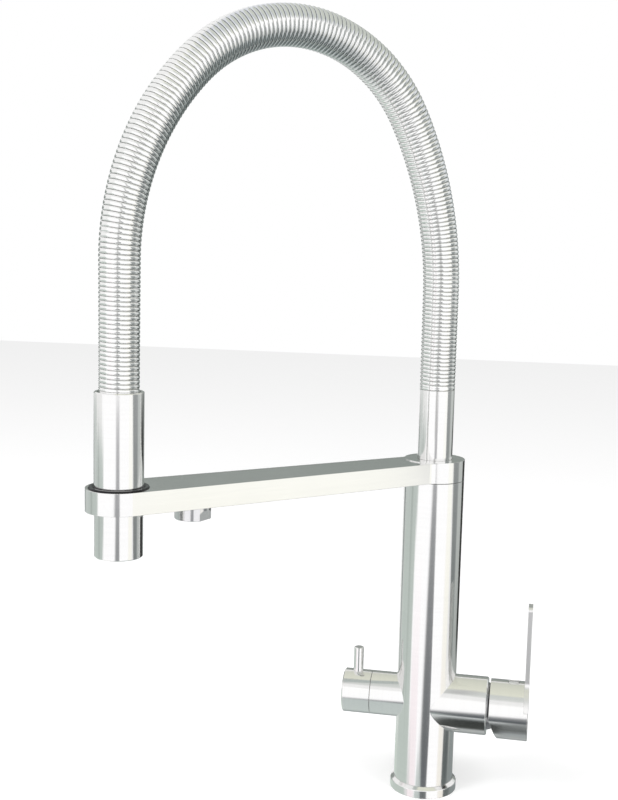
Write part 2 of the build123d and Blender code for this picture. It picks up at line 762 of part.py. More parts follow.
def coil_point(s, angle):
    """A point of the wire's centre line: the coil swells by a squared sine towards the crown."""
    centre, way, out = neck_point(s)
    swell = math.sin(math.pi * s / neck_length()) ** 2
    r = spring_end_r - wire_r + (spring_crown_r - spring_end_r) * swell
    return centre + out * (r * math.cos(angle)) + Vector(0, -1, 0) * (r * math.sin(angle))


def biarc(start, start_way, end, end_way):
    """Two arcs that leave one point and reach another in given ways."""
    chord = end - start
    both = start_way + end_way
    k = 2 * (1 - start_way.dot(end_way))
    lean = chord.dot(both)
    d = (math.sqrt(lean * lean + k * chord.dot(chord)) - lean) / k
    near = start + start_way * d
    far = end - end_way * d
    middle = (near + far) * 0.5
    return [TangentArc(start, middle, tangent=start_way), TangentArc(middle, end, tangent=far - near)]


def make_spring():
    whole = neck_length()
    lead = 2 * wire_r + curl_start
    pitch = (whole - 2 * lead) / curls
    turn = 2 * math.pi

    def along(count):
        return coil_point(lead + count * pitch, math.pi / 2 + count * turn)

    def way_at(count):
        small = 0.001
        return (along(count + small) - along(count - small)).normalized()

    counts = [step / 2 for step in range(2 * curls + 1)]
    up = Vector(0, 0, 1)
    root = coil_point(0, 0)
    root_end = root + up * (2 * wire_r)
    tip = coil_point(whole, math.pi + (curls % 1) * turn)
    tip_start = tip + up * (2 * wire_r)
    edges = [Line(root, root_end)]
    edges += biarc(root_end, up, along(0), way_at(0))
    for before, after in zip(counts, counts[1:]):
        edges += biarc(along(before), way_at(before), along(after), way_at(after))
    edges += biarc(along(curls), way_at(curls), tip_start, -up)
    edges.append(Line(tip_start, tip))
    path = Wire([edge.edge() for edge in edges])
    section = Plane(origin=root, z_dir=up) * Circle(wire_r)
    spring = sweep(section, path=path)
    report_spring(path, spring, edges)
    parts["neck_spring"] = on_arm(spring)


def report_spring(path, spring, edges):
    per_curl = 24
    number = per_curl * (curls + 3)
    points = [tuple(path.position_at(i / number)) for i in range(number + 1)]
    least = min(math.dist(points[i], points[j])
                for i in range(number) for j in range(i + per_curl // 2, min(i + 3 * per_curl, number)))
    radii = [edge.edge().radius for edge in edges if edge.edge().geom_type == GeomType.CIRCLE]
    print(f"spring: {curls} curls, wire {path.length:.0f} mm, least gap {least - 2 * wire_r:.2f} mm, "
          f"least arc {min(radii):.2f} mm, volume {spring.volume:.0f} of "
          f"{math.pi * wire_r ** 2 * path.length:.0f} mm3")


def make_hose():
    """A hose from the root fitting in the riser to the fitting in the spray head."""
    ends = [root_z + root_l + fit - riser_top]
    bends = []
    for length, bend in neck_stretches():
        ends.append(max(ends[-1], 0) + length)
        bends.append(bend)
    ends[-1] = neck_length() + collar_h - loose
    edges = []
    for before, after, bend in zip(ends, ends[1:], bends):
        a, b, c = (neck_point(s)[0] for s in (before, (before + after) / 2, after))
        edges.append(ThreePointArc(a, b, c) if bend else Line(a, c))
    path = Wire([edge.edge() for edge in edges])
    section = Plane(origin=neck_point(ends[0])[0]) * (Circle(hose_r) - Circle(hose_bore_r))
    parts["inner_hose"] = on_arm(sweep(section, path=path))


# Spray head and the hose end that carries it

def make_hose_end():
    fitting = rod(fitting_r, fitting_z, fitting_top)
    fitting += rod(hose_bore_r - loose, fitting_top, fitting_top + barb_l)
    fitting -= rod(core_neck_r + running, fitting_z, core_neck_top + end_gap)
    fitting -= rod(post_bore_r, fitting_z, fitting_top + barb_l)
    parts["hose_end_fitting"] = at_dock(fitting)
    ferrule_r = hose_r + loose
    ferrule = ring(ferrule_r + ferrule_wall, ferrule_r, fitting_top, fitting_top + barb_l)
    parts["hose_end_ferrule"] = at_dock(ferrule)
    collar_in = ferrule_r + ferrule_wall + fit
    parts["spring_collar"] = at_dock(ring(spring_end_r + loose, collar_in, fitting_top, collar_top))


def make_spray_head():
    low_in = spray_low_r - spray_wall
    high_in = spray_r - spray_wall
    mouth = spring_end_r + 2 * loose
    profile = [(low_in, spray_z), (spray_low_r - spray_edge, spray_z), (spray_low_r, spray_z + spray_edge),
               (spray_low_r, dock_z), (spray_r, dock_z), (spray_r, spray_top - spray_edge),
               (spray_r - spray_edge, spray_top), (mouth, spray_top), (mouth, collar_top),
               (high_in, collar_top - spray_lead), (high_in, dock_z + spray_cone), (low_in, dock_z)]
    parts["spray_sleeve"] = at_dock(turned(profile))

    core = rod(low_in - fit, core_z, core_top) + rod(core_neck_r, core_top, core_neck_top)
    ring_z = core_neck_top - core_ring_sunk
    groove_r = core_neck_r - 2 * core_ring_r
    core -= ring(spray_low_r, groove_r, ring_z - core_ring_r - fit, ring_z + core_ring_r + fit)
    core -= rod(post_bore_r, core_z, core_neck_top)
    valve_top = core_top - check_valve_sunk
    core -= rod(check_valve_r + fit, core_z, valve_top)
    core -= rod(low_in - core_wall, core_z, core_z + face_h)
    parts["spray_core"] = at_dock(core)
    parts["swivel_oring"] = at_dock(Pos(0, 0, ring_z) * Torus(groove_r + core_ring_r + fit, core_ring_r))
    valve = ring(check_valve_r, check_valve_r - check_valve_wall, valve_top - check_valve_l, valve_top)
    parts["check_valve"] = at_dock(valve)

    face = ring(low_in - fit, aerator_r + fit, face_z, core_z)
    for count, place_r in ((inner_jets, inner_jets_r), (outer_jets, outer_jets_r)):
        for step in range(count):
            x, y = polar(place_r, step * 360 / count)
            face += rod(nozzle_hole_r, face_z - jet_h, face_z, x, y)
    parts["spray_face"] = at_dock(face)
    aerator = rod(aerator_r, face_z, core_z) - hole_rings(aerator_step, face_z, core_z)
    parts["spray_aerator"] = at_dock(aerator)


make_flange()
make_column()
make_inlets()
make_mixing_block()
make_riser_pipes()
make_swivel()
make_cartridge()
make_cover()
make_rotor()
make_flow_disc()
make_cap()
make_blade()
make_filter_handle()
make_arm()
make_liner()
make_riser()
make_outlet()
make_spring()
make_hose()
make_hose_end()
make_spray_head()

os.makedirs("parts", exist_ok=True)
for name, shape in parts.items():
    export_step(shape, f"parts/{name}.step")
print(len(parts), "pieces")
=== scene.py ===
import math

import bpy
from mathutils import Matrix, Vector


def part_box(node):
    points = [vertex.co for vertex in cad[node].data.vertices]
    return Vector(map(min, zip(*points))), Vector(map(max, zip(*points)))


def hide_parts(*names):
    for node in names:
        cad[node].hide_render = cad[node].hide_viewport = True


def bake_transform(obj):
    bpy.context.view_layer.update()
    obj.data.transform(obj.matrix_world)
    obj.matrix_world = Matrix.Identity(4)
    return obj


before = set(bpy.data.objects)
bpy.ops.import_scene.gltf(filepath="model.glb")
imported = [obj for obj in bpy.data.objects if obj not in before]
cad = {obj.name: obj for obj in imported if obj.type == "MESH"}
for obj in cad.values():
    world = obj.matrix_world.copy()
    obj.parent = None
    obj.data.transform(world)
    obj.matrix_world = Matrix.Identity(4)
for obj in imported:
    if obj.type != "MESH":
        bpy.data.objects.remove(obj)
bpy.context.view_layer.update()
mm = 0.001
print("frame loaded,", len(cad), "nodes")


# shader maths: a socket that adds its own nodes when it is used in a formula
class Wave:
    def __init__(self, finish, socket):
        self.finish = finish
        self.socket = socket

    def reckon(self, operation, *others):
        values = {0: self}
        values.update({i + 1: other for i, other in enumerate(others)})
        return self.finish.node("ShaderNodeMath", {"operation": operation}, values)

    def __add__(self, other):
        return self.reckon("ADD", other)

    def __sub__(self, other):
        return self.reckon("SUBTRACT", other)

    def __mul__(self, other):
        return self.reckon("MULTIPLY", other)

    def __truediv__(self, other):
        return self.reckon("DIVIDE", other)

    def __rsub__(self, other):
        return (self * -1) + other

    __radd__ = __add__
    __rmul__ = __mul__

    def over(self, limit):
        return self.reckon("GREATER_THAN", limit)

    def under(self, limit):
        return self.reckon("LESS_THAN", limit)


class Finish:
    def __init__(self, name, owner=None):
        self.owner = owner or bpy.data.materials.new(name)
        self.owner.use_nodes = True
        self.tree = self.owner.node_tree
        self.tree.nodes.clear()

    def node(self, kind, settings=None, values=None, out=0):
        made = self.tree.nodes.new(kind)
        for key, value in (settings or {}).items():
            setattr(made, key, value)
        for key, value in (values or {}).items():
            if isinstance(value, Wave):
                self.tree.links.new(value.socket, made.inputs[key])
            else:
                made.inputs[key].default_value = value
        return Wave(self, made.outputs[out]) if made.outputs else None

    def place(self):
        where = self.node("ShaderNodeTexCoord", out=3)
        parts = self.node("ShaderNodeSeparateXYZ", values={0: where})
        outs = parts.socket.node.outputs
        return where, [Wave(self, outs[i]) for i in range(3)]

    def join(self, x, y, z):
        return self.node("ShaderNodeCombineXYZ", values={0: x, 1: y, 2: z})

    def noise(self, vector, scale=1.0, detail=2.0, rough=0.5):
        values = {"Vector": vector, "Scale": scale, "Detail": detail, "Roughness": rough}
        return self.node("ShaderNodeTexNoise", {"noise_dimensions": "3D"}, values)

    def mixColor(self, factor, a, b, blend="MIX"):
        settings = {"data_type": "RGBA", "blend_type": blend}
        return self.node("ShaderNodeMix", settings, {0: factor, 6: a, 7: b}, out=2)

    def mixVector(self, factor, a, b):
        return self.node("ShaderNodeMix", {"data_type": "VECTOR"}, {0: factor, 4: a, 5: b}, out=1)

    def range(self, value, low, high):
        return self.node("ShaderNodeMapRange", values={0: value, 3: low, 4: high})

    def bump(self, height, distance, strength=1.0, edge=0.0):
        values = {"Height": height, "Distance": distance, "Strength": strength}
        if edge:
            values["Normal"] = self.node("ShaderNodeBevel", {"samples": 4}, {"Radius": edge})
        return self.node("ShaderNodeBump", values=values)

    def surface(self, **values):
        values = {key.replace("_", " "): value for key, value in values.items()}
        shader = self.node("ShaderNodeBsdfPrincipled", values=values)
        self.finishWith(shader)
        return self.owner

    def finishWith(self, shader):
        self.node("ShaderNodeOutputMaterial", values={0: shader})


# grain: how the brushing or turning runs over a piece
grain = {"finest": 5200.0, "along": 9.0, "round": 2.2}


def turnedUp(f, xyz, cx=0.0, cy=0.0):  # rings round an upright axis
    x, y, z = xyz
    dx = x - cx
    dy = y - cy
    r = (dx * dx + dy * dy).reckon("SQRT").reckon("MAXIMUM", 1e-5)
    return f.join(dx / r * grain["round"], dy / r * grain["round"], (z + r) * grain["finest"])


def turnedAcross(f, xyz, cz):  # rings round the handles' axis
    x, y, z = xyz
    dz = z - cz
    r = (y * y + dz * dz).reckon("SQRT").reckon("MAXIMUM", 1e-5)
    return f.join(y / r * grain["round"], dz / r * grain["round"], (x + r) * grain["finest"])


def brushed(f, xyz, azimuth):  # straight lines along a level direction
    x, y, z = xyz
    c, s = math.cos(azimuth), math.sin(azimuth)
    along = x * c + y * s
    across = y * c - x * s
    return f.join(along * grain["along"], across * grain["finest"], z * grain["finest"])


steel = {
    "pale": (0.87, 0.865, 0.855),
    "deep": (0.80, 0.797, 0.79),
    "tones": (-0.6, 1.6),  # the tone at the grain's lowest and highest
    "roughLow": 0.07,
    "roughHigh": 0.17,
    "bands": 0.16,  # scale of the wide bands in the grain
    "clouds": 26.0,
    "edge": 0.45 * mm,  # how far the corners look rounded
    "dent": 0.002 * mm,
}


def steelFinish(name, lines, low=steel["roughLow"], high=steel["roughHigh"]):
    f = Finish(name)
    where, xyz = f.place()
    path = lines(f, xyz)
    fine = f.noise(path, detail=3.0, rough=0.6)
    wide = f.noise(path, scale=steel["bands"], detail=2.0)
    cloud = f.noise(where, scale=steel["clouds"], detail=2.0)
    tone = fine * 0.35 + wide * 0.35 + cloud * 0.3
    color = f.mixColor(f.range(tone, *steel["tones"]), (*steel["deep"], 1), (*steel["pale"], 1))
    rough = f.range(fine * 0.7 + cloud * 0.3, low, high)
    normal = f.bump(fine + wide * 0.6, steel["dent"], 0.5, edge=steel["edge"])
    return f.surface(Base_Color=color, Metallic=1.0, Roughness=rough, Normal=normal)


# where the column's two bosses begin, and the heights of the handles' axes
columnSkin = 24.03 * mm
handleLevel, capLevel, knobLevel = 73.0 * mm, 71.75 * mm, 75.5 * mm
knobPinPlace = -56.6 * mm


def columnGrain(f, xyz):
    x, y = xyz[:2]
    out = (x * x + y * y).over(columnSkin * columnSkin)
    left = x.under(0.0)
    bosses = f.mixVector(left, turnedAcross(f, xyz, handleLevel), turnedAcross(f, xyz, knobLevel))
    return f.mixVector(out, turnedUp(f, xyz), bosses)


armTurn = math.radians(223.0)
dock = sum(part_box("dock_liner"), Vector()) / 2
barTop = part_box("docking_arm")[1].z - 0.3 * mm  # only the arm's head stands above this


def armGrain(f, xyz):
    headTop = xyz[2].over(barTop)
    return f.mixVector(headTop, brushed(f, xyz, armTurn), turnedUp(f, xyz))


def bladeGrain(f, xyz):
    x, y, z = xyz
    return f.join(z * grain["along"], y * grain["finest"], x * grain["finest"])


# how finely and how much the colour and the roughness of the other finishes vary
speckle = {"fine": 900.0, "wide": 54.0, "color": 0.12, "rough": 0.15, "dent": 0.01 * mm}


def plainFinish(name, color, rough, metal, coat, shine):
    f = Finish(name)
    where = f.place()[0]
    spread = speckle["color"]
    fine = f.noise(where, scale=speckle["fine"], detail=3.0)
    wide = f.noise(where, scale=speckle["wide"], detail=2.0)
    low = tuple(c * (1 - spread) for c in color)
    high = tuple(min(1.0, c * (1 + spread)) for c in color)
    tint = f.mixColor(fine * 0.5 + wide * 0.5, (*low, 1), (*high, 1))
    roughness = f.range(fine, rough * (1 - speckle["rough"]), rough * (1 + speckle["rough"]))
    normal = f.bump(fine, speckle["dent"], 0.5)
    return f.surface(Base_Color=tint, Metallic=metal, Roughness=roughness, Normal=normal, Coat_Weight=coat,
                     Specular_IOR_Level=shine)


def dress(material, *names):
    for name in names:
        cad[name].data.materials.clear()
        cad[name].data.materials.append(material)


dress(steelFinish("columnSteel", columnGrain), "column_body")
dress(steelFinish("flangeSteel", turnedUp), "base_flange")
dress(steelFinish("riserSteel", turnedUp), "riser_tube")
dress(steelFinish("armSteel", armGrain), "docking_arm")
dress(steelFinish("spraySteel", lambda f, p: turnedUp(f, p, dock.x, dock.y)), "spray_sleeve")
dress(steelFinish("capSteel", lambda f, p: turnedAcross(f, p, capLevel)), "handle_cap")
dress(steelFinish("bladeSteel", bladeGrain, low=0.26, high=0.36), "lever_blade")
dress(steelFinish("knobSteel", lambda f, p: turnedAcross(f, p, knobLevel)), "filter_knob")
dress(steelFinish("pinSteel", lambda f, p: turnedUp(f, p, knobPinPlace, 0.0)), "knob_pin")

# the other finishes: colour, roughness, metal, coat and shine
plain = {
    "brassFinish": ((0.72, 0.56, 0.29), 0.3, 1.0, 0.0, 0.5),
    "copperFinish": ((0.72, 0.42, 0.29), 0.28, 1.0, 0.0, 0.5),
    "plainSteel": ((0.6, 0.6, 0.61), 0.32, 1.0, 0.0, 0.5),
    "darkSteel": ((0.34, 0.34, 0.35), 0.2, 1.0, 0.0, 0.5),
    "outletSteel": ((0.72, 0.71, 0.72), 0.14, 1.0, 0.0, 0.5),
    "linerBlack": ((0.006, 0.006, 0.008), 0.16, 0.0, 0.0, 0.3),
    "sealRubber": ((0.02, 0.02, 0.021), 0.7, 0.0, 0.0, 0.5),
    "nozzleBlack": ((0.03, 0.03, 0.032), 0.5, 0.0, 0.0, 0.5),
    "greyPlastic": ((0.5, 0.5, 0.51), 0.45, 0.0, 0.0, 0.5),
    "ceramicWhite": ((0.8, 0.79, 0.76), 0.25, 0.0, 0.3, 0.5),
}
worn = {  # which pieces have them
    "brassFinish": ["inlet_block", "mixing_block", "swivel_post", "cartridge_nut", "filter_valve",
                    "filter_stem", "hose_root_fitting", "hose_end_fitting", "spray_core"],
    "copperFinish": ["hot_inlet_pipe", "cold_inlet_pipe", "filtered_inlet_pipe", "mixed_water_pipe",
                     "filtered_water_pipe"],
    "plainSteel": ["swivel_clip", "tilt_pin", "lever_stem", "cap_set_screw", "knob_set_screw",
                   "hose_root_ferrule", "hose_end_ferrule", "arm_water_tube", "spring_collar"],
    "darkSteel": ["cartridge_cover"],
    "outletSteel": ["outlet_housing"],
    "linerBlack": ["dock_liner"],
    "sealRubber": ["base_seal", "swivel_seals", "cartridge_seals", "outlet_seal", "swivel_oring"],
    "nozzleBlack": ["spray_face", "swivel_washer", "cartridge_housing"],
    "greyPlastic": ["spray_aerator", "outlet_aerator", "check_valve", "cartridge_rotor", "disc_carrier"],
    "ceramicWhite": ["ceramic_disc", "moving_disc"],
}
for name, look in plain.items():
    dress(plainFinish(name, *look), *worn[name])

# the cap's plug: white, with a painted shade round its edge for the shadow line of its hole
plug = {
    "pale": (0.86, 0.86, 0.84),
    # the rim colour is painted shade, the shadow line of the hole round the plug
    "rim": (0.05, 0.05, 0.05),
    "inner": 3.9 * mm,  # the dark sets in here and is full at the outer radius
    "outer": 4.6 * mm,
    "rough": (0.26, 0.34),
    "coat": 0.3,
}


def plugFinish():
    f = Finish("plugWhite")
    where, (x, y, z) = f.place()
    middle = sum(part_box("cap_plug"), Vector()) / 2
    out = Vector((0, middle.y, middle.z - capLevel)).normalized()
    along = x - middle.x
    across = (y - middle.y) * out.z - (z - middle.z) * out.y
    r = (along * along + across * across).reckon("SQRT")
    # painted shade: darker towards the plug's edge
    rim = f.node("ShaderNodeMapRange", values={0: r, 1: plug["inner"], 2: plug["outer"]})
    color = f.mixColor(rim, (*plug["pale"], 1), (*plug["rim"], 1))
    rough = f.range(f.noise(where, scale=speckle["fine"]), *plug["rough"])
    return f.surface(Base_Color=color, Roughness=rough, Coat_Weight=plug["coat"])


dress(plugFinish(), "cap_plug")
print("finishes done")


# the neck's centre line: a straight rise, three arcs and a straight drop to the spray head
neck = {
    "rise": 76.5 * mm,
    "radii": (260.0 * mm, 114.5 * mm),
    "turns": (30.5, 105.5),
}
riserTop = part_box("riser_tube")[1].z
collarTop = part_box("spring_collar")[1].z
reach = math.hypot(dock.x, dock.y)
neckWay = Vector((math.cos(armTurn), math.sin(armTurn), 0))  # level, from the riser to the spray head
sideWay = Vector((-math.sin(armTurn), math.cos(armTurn), 0))


def neckStretches():
    r1, r2 = neck["radii"]
    h1 = math.radians(neck["turns"][0])
    h2 = h1 + math.radians(neck["turns"][1])
    spent = r1 * (1 - math.cos(h1)) + r2 * (math.cos(h1) - math.cos(h2))
    r3 = (reach - spent) / (math.cos(h2) + 1)
    climb = r1 * math.sin(h1) + r2 * (math.sin(h2) - math.sin(h1)) - r3 * math.sin(h2)
    drop = riserTop + neck["rise"] + climb - collarTop
    bends = [(r1 * h1, 1 / r1), (r2 * (h2 - h1), 1 / r2), (r3 * (math.pi - h2), 1 / r3)]
    return [(neck["rise"], 0.0), *bends, (drop, 0.0)]


stretches = neckStretches()
neckLength = sum(length for length, bend in stretches)


def neckAt(s):  # the place, the outward way and the bend at a distance from the riser
    x, z, heading = 0.0, riserTop, 0.0
    for number, (length, bend) in enumerate(stretches):
        last = number == len(stretches) - 1
        step = s if last else min(s, length)
        if bend:
            after = heading + step * bend
            x += (math.cos(heading) - math.cos(after)) / bend
            z += (math.sin(after) - math.sin(heading)) / bend
            heading = after
        else:
            x += step * math.sin(heading)
            z += step * math.cos(heading)
        s -= step
        if s <= 0 and not last:
            break
    up = Vector((0, 0, 1))
    place = neckWay * x + up * z
    out = up * math.sin(heading) - neckWay * math.cos(heading)
    return place, out, bend


def tubeMesh(name, rings, closed=True):  # a skin over rings of points, with flat ends
    sides = len(rings[0])
    points = [p for ring in rings for p in ring]
    faces = []
    for i in range(len(rings) - 1):
        for k in range(sides):
            a = i * sides + k
            b = i * sides + (k + 1) % sides
            faces.append((a, b, b + sides, a + sides))
    if closed:
        faces.append(tuple(reversed(range(sides))))
        faces.append(tuple(range(len(points) - sides, len(points))))
    mesh = bpy.data.meshes.new(name)
    mesh.from_pydata(points, [], faces)
    mesh.polygons.foreach_set("use_smooth", [len(f) == 4 for f in faces])
    piece = bpy.data.objects.new(name, mesh)
    bpy.context.scene.collection.objects.link(piece)
    return piece


# the close wound spring: each turn lies on the next along the inside of the bend
spring = {
    "wire": 1.5 * mm,   # half the wire's width along the neck
    "depth": 0.7 * mm,  # half the wire's thickness outwards
    "endRadius": 14.0 * mm,
    "crownRadius": 15.0 * mm,
    "squeeze": 1.02,
    "spread": 0.9,      # how much the wire widens where the turns open
    "perTurn": 22,
    "sides": 10,
    "pale": (0.84, 0.84, 0.835),
    "bright": (0.90, 0.90, 0.89),
    # the underside colour is painted shade, darkening the neck's lower inner side
    "underside": (0.47, 0.50, 0.50),
    # the crest colour is painted shade, darkening the top of the bend towards its right
    "crest": (0.70, 0.72, 0.76),
    # the groove colour is painted shade, darkening the grooves between the turns
    "groove": (0.10, 0.105, 0.105),
    "spans": {"groove": (0.2, 0.8), "under": (0.4, 0.85), "crest": (0.4, 0.64)},  # where each shade sets in
    "leftFade": 1.6,    # how soon the crest's shade ends towards the left
    "drawn": 420.0,     # scale of the wire's fine marks, and of its clouds
    "clouds": 38.0,
}


def springPitch(s, bend):
    coil = coilRadius(s)
    return 2 * spring["wire"] * spring["squeeze"] / (1 - coil * bend)


def coilRadius(s):
    swell = math.sin(math.pi * min(max(s / neckLength, 0), 1)) ** 2
    return spring["endRadius"] + (spring["crownRadius"] - spring["endRadius"]) * swell - spring["depth"]


def coilPoint(s, angle):
    place, out = neckAt(s)[:2]
    spoke = out * math.cos(angle) + sideWay * math.sin(angle)
    return place + spoke * coilRadius(s), spoke


# the ways that the neck's underside and its crest face, along which their painted shade is laid
underWay = Vector((0.5, 0, -0.9))
crestWay = Vector((0.45, 0, 0.89))


def buildSpring():  # the first and the last turn lie flat, and the wire widens where the bend opens it
    turn = 2 * math.pi / spring["perTurn"]
    start, end = spring["wire"], neckLength - spring["wire"]
    spots = [start] * spring["perTurn"]
    while spots[-1] < end:
        bend = neckAt(spots[-1])[2]
        spots.append(spots[-1] + springPitch(spots[-1], bend) / spring["perTurn"])
    spots += [end] * spring["perTurn"]
    points, spokes, halves = [], [], []
    for i, s in enumerate(spots):
        s = min(s, end)
        point, spoke = coilPoint(s, i * turn)
        points.append(point)
        spokes.append(spoke)
        opening = coilRadius(s) * neckAt(s)[2]
        local = (1 + opening * math.cos(i * turn)) / (1 - opening)
        halves.append(spring["wire"] * (1 + spring["spread"] * (local - 1)))
    # with each point goes how deep it lies between the turns, and how far it is on the underside or the
    # crest, which set where the painted shade goes
    rings, grooves, unders, crests = [], [], [], []
    for i, (point, spoke, half) in enumerate(zip(points, spokes, halves)):
        ahead = points[min(i + 1, len(points) - 1)] - points[max(i - 1, 0)]
        cross = ahead.normalized().cross(spoke).normalized()
        ring = []
        for k in range(spring["sides"]):
            a = 2 * math.pi * k / spring["sides"]
            ring.append(point + spoke * math.cos(a) * spring["depth"] + cross * math.sin(a) * half)
            grooves.append(0.5 - 0.5 * math.cos(a))
            unders.append(spoke.dot(underWay))
            crests.append(spoke.dot(crestWay) + spring["leftFade"] * min(0, spoke.x))
        rings.append(ring)
    piece = tubeMesh("neckSpring", rings)
    for name, values in (("groove", grooves), ("under", unders), ("crest", crests)):
        piece.data.attributes.new(name, "FLOAT", "POINT").data.foreach_set("value", values)
    print("spring:", len(spots) // spring["perTurn"], "turns")
    return piece


def springFinish():
    f = Finish("springSteel")
    where = f.place()[0]

    def layer(name):
        low, high = spring["spans"][name]
        value = f.node("ShaderNodeAttribute", {"attribute_name": name}, out=2)
        smooth = {"interpolation_type": "SMOOTHSTEP"}
        return f.node("ShaderNodeMapRange", smooth, {0: value, 1: low, 2: high})

    hollow = layer("groove")
    shaded = layer("under")
    crest = layer("crest")
    drawn = f.noise(where, scale=spring["drawn"], detail=3.0)
    cloud = f.noise(where, scale=spring["clouds"], detail=2.0)
    pale = f.mixColor(cloud, (*spring["pale"], 1), (*spring["bright"], 1))
    # painted shade: the neck's underside is darkened towards the underside colour
    dusk = f.mixColor(shaded, pale, (*spring["underside"], 1))
    # painted shade: the crest is darkened, fading out towards the left
    dulled = f.mixColor(crest, dusk, (*spring["crest"], 1))
    # painted shade in the grooves between the turns, only where the underside or the crest is shaded
    color = f.mixColor(hollow * (shaded * 0.6 + crest), dulled, (*spring["groove"], 1))
    rough = f.range(drawn, 0.1, 0.18) + hollow * 0.15
    normal = f.bump(drawn, 0.01 * mm, 0.4)
    return f.surface(Base_Color=color, Metallic=1.0, Roughness=rough, Normal=normal)


hose = {
    "radius": 7.5 * mm,
    "short": 0.3 * mm,  # the hose ends this far above the collar's foot
    "rings": 240,
    "sides": 28,
    "weave": 1400.0,
    "dark": (0.26, 0.26, 0.265),
    "light": (0.36, 0.36, 0.365),
}


def buildHose():
    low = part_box("inner_hose")[0].z
    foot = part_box("hose_root_ferrule")[0].z
    start = max(low, foot) - riserTop
    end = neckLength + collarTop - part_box("spring_collar")[0].z - hose["short"]
    angles = [2 * math.pi * k / hose["sides"] for k in range(hose["sides"])]
    rings = []
    for i in range(hose["rings"] + 1):
        s = start + (end - start) * i / hose["rings"]
        place, out = neckAt(s)[:2]
        rings.append([place + (out * math.cos(a) + sideWay * math.sin(a)) * hose["radius"] for a in angles])
    return tubeMesh("innerHose", rings)


def hoseFinish():
    f = Finish("hoseRubber")
    where = f.place()[0]
    weave = f.noise(where, scale=hose["weave"], detail=2.0)
    color = f.mixColor(weave, (*hose["dark"], 1), (*hose["light"], 1))
    rough = f.range(weave, 0.55, 0.75)
    return f.surface(Base_Color=color, Roughness=rough, Normal=f.bump(weave, 0.05 * mm, 0.6))


def overNeck(piece, node, material):
    piece.data.materials.append(material)
    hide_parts(node)
    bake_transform(piece)


overNeck(buildSpring(), "neck_spring", springFinish())
overNeck(buildHose(), "inner_hose", hoseFinish())
print("neck done")


# the camera stands where the photograph's did
view = {
    "place": (86.477 * mm, -937.961 * mm, 437.993 * mm),
    "yaw": 11.469,
    "pitch": -7.235,
    "roll": 1.340,
    "focal": 1185.574,
    "longSide": 800.0,
    "sensor": 36.0,
}


def placeCamera():
    data = bpy.data.cameras.new("camera")
    data.sensor_width = view["sensor"]
    data.lens = view["focal"] * view["sensor"] / view["longSide"]
    data.clip_start = 0.01
    camera = bpy.data.objects.new("camera", data)
    yaw, pitch, roll = (math.radians(view[key]) for key in ("yaw", "pitch", "roll"))
    ahead = Vector((-math.sin(yaw) * math.cos(pitch), math.cos(yaw) * math.cos(pitch), math.sin(pitch)))
    right = Vector((math.cos(yaw), math.sin(yaw), 0))
    up = right.cross(ahead)
    rolledRight = right * math.cos(roll) + up * math.sin(roll)
    rolledUp = up * math.cos(roll) - right * math.sin(roll)
    turn = Matrix((rolledRight, rolledUp, -ahead)).transposed().to_4x4()
    camera.matrix_world = Matrix.Translation(Vector(view["place"])) @ turn
    bpy.context.scene.collection.objects.link(camera)
    bpy.context.scene.camera = camera


placeCamera()

# soft light from all round and two large lamps, over a pale floor that keeps a faint shadow
studio = {
    "worldDiffuse": 0.62,
    "floor": 0.93,
    "floorGlow": 0.28,
    "floorHalf": 4.0,
    "aim": (0, 0, 0.25),
    "lamps": {  # place, size and power
        "keyLamp": ((-1.3, -1.2, 1.9), 1.0, 22.0),
        "fillLamp": ((1.4, -0.9, 1.5), 1.2, 12.0),
    },
}


def lightWorld():
    world = bpy.data.worlds.new("world")
    bpy.context.scene.world = world
    f = Finish("world", world)
    rays = f.node("ShaderNodeLightPath").socket.node.outputs
    seen = Wave(f, rays["Is Camera Ray"])
    for kind in ("Is Glossy Ray", "Is Transmission Ray"):
        seen = seen + Wave(f, rays[kind])
    seen = seen.reckon("MINIMUM", 1.0)
    strength = f.range(seen, studio["worldDiffuse"], 1.0)
    sky = f.node("ShaderNodeBackground", values={"Color": (1, 1, 1, 1), "Strength": strength})
    f.node("ShaderNodeOutputWorld", values={0: sky})


def buildFloor():
    half = studio["floorHalf"]
    mesh = bpy.data.meshes.new("floor")
    corners = [(-half, -half, 0), (half, -half, 0), (half, half, 0), (-half, half, 0)]
    mesh.from_pydata(corners, [], [(0, 1, 2, 3)])
    floor = bpy.data.objects.new("floor", mesh)
    bpy.context.scene.collection.objects.link(floor)
    f = Finish("floorPaper")
    rays = f.node("ShaderNodeLightPath").socket.node.outputs
    seen = Wave(f, rays["Is Camera Ray"])
    level = studio["floor"]
    paper = f.node("ShaderNodeBsdfDiffuse", values={"Color": (level, level, level, 1)})
    shine = seen * studio["floorGlow"]
    glow = f.node("ShaderNodeEmission", values={"Color": (1, 1, 1, 1), "Strength": shine})
    f.finishWith(f.node("ShaderNodeAddShader", values={0: paper, 1: glow}))
    floor.data.materials.append(f.owner)
    floor.visible_glossy = False


def areaLamp(name, place, size, power):
    data = bpy.data.lights.new(name, "AREA")
    data.shape = "DISK"
    data.size = size
    data.energy = power
    lamp = bpy.data.objects.new(name, data)
    lamp.location = place
    aim = Vector(studio["aim"]) - Vector(place)
    lamp.rotation_euler = aim.to_track_quat("-Z", "Y").to_euler()
    lamp.visible_glossy = False
    bpy.context.scene.collection.objects.link(lamp)


lightWorld()
buildFloor()
for name, lamp in studio["lamps"].items():
    areaLamp(name, *lamp)
print("lamps done")


